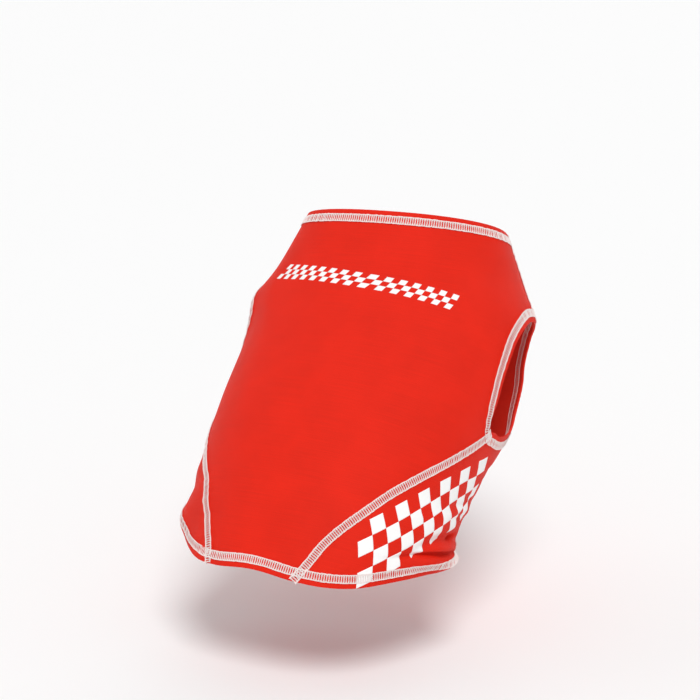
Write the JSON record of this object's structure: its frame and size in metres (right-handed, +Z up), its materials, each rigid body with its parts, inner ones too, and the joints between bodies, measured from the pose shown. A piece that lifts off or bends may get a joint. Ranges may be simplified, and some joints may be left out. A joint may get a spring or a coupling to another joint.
{
  "type": "dog rash guard",
  "caption": "Sleeveless stretch rash guard for a small dog, in worn form, with a back panel, a belly panel, flat seams and turned hems.",
  "frame": {"origin": "the withers: the point on the inner face of the back panel, on the middle of the back between the shoulders, where the wearer's back holds the garment up", "axes": "+Z up, +Y the wearer's forward towards the head, +X the wearer's right"},
  "size_m": [0.2218, 0.3046, 0.2496],
  "materials": {
    "red_jersey_back": "matt stretch jersey",
    "red_jersey_belly": "matt stretch jersey"
  },
  "bodies": {
    "root": {"back_panel": "red_jersey_back", "belly_panel": "red_jersey_belly"}
  },
  "joints": []
}
